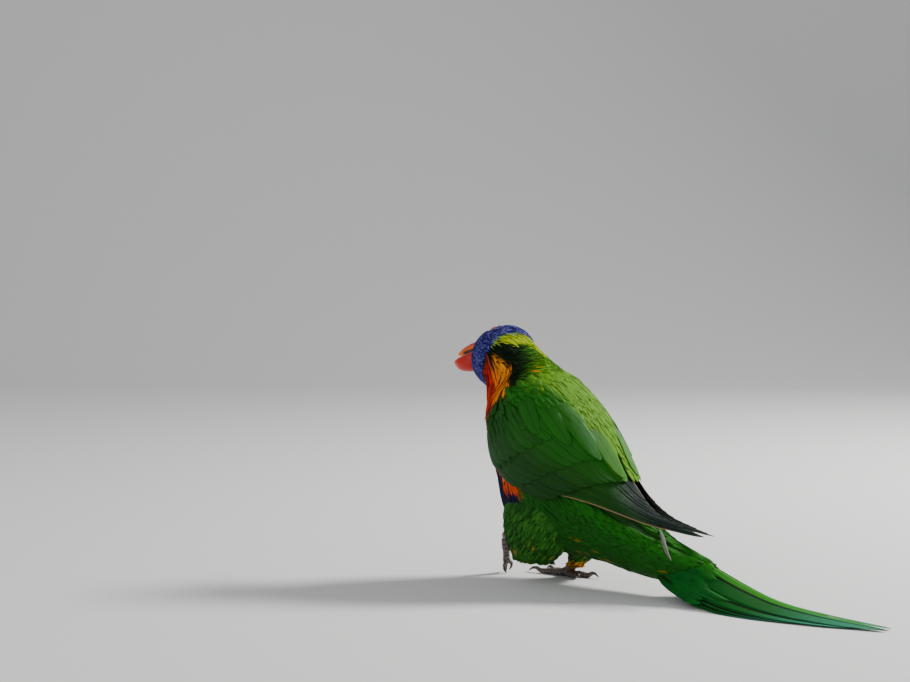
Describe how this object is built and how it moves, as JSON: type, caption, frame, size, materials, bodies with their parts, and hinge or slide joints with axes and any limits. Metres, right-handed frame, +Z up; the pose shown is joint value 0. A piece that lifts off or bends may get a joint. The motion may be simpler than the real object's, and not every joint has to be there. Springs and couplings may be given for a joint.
{
  "type": "rainbow lorikeet",
  "caption": "Still, life-size rainbow lorikeet in mid-step: head turned with the hooked bill open, wings folded, long tail laid down on the floor.",
  "frame": {"origin": "middle of the bounding box, on the floor that the feet and the tail rest on", "axes": "bird faces -Y, its own left side is +X, +Z is up"},
  "size_m": [0.0634, 0.2626, 0.1335],
  "materials": {
    "blue_plumage": "fine violet-blue head feathers with paler shafts, soft sheen",
    "collar_plumage": "yellow-green collar over dark green and orange-red neck feathers",
    "green_plumage": "bright green body feathers, orange and yellow breast, dark blue belly",
    "wing_plumage": "green wing feathers with blackish flight feather tips, soft sheen",
    "tail_plumage": "long green tail feathers with dark shafts and yellow-green edges",
    "eye": "glossy orange-red iris with a black pupil",
    "cere": "bare grey skin, slightly waxy",
    "bill": "orange-red horn with a yellow tip, semi-gloss",
    "foot_skin": "dark grey scaly skin, black semi-gloss claws"
  },
  "bodies": {
    "root": {"head": "blue_plumage", "neck": "collar_plumage", "torso": "green_plumage", "eye_left": "eye", "eye_right": "eye", "cere": "cere", "bill_upper": "bill", "bill_lower": "bill", "wing_left": "wing_plumage", "wing_right": "wing_plumage", "tail": "tail_plumage", "thigh_left": "green_plumage", "foot_left": "foot_skin", "thigh_right": "green_plumage", "foot_right": "foot_skin"}
  },
  "joints": []
}
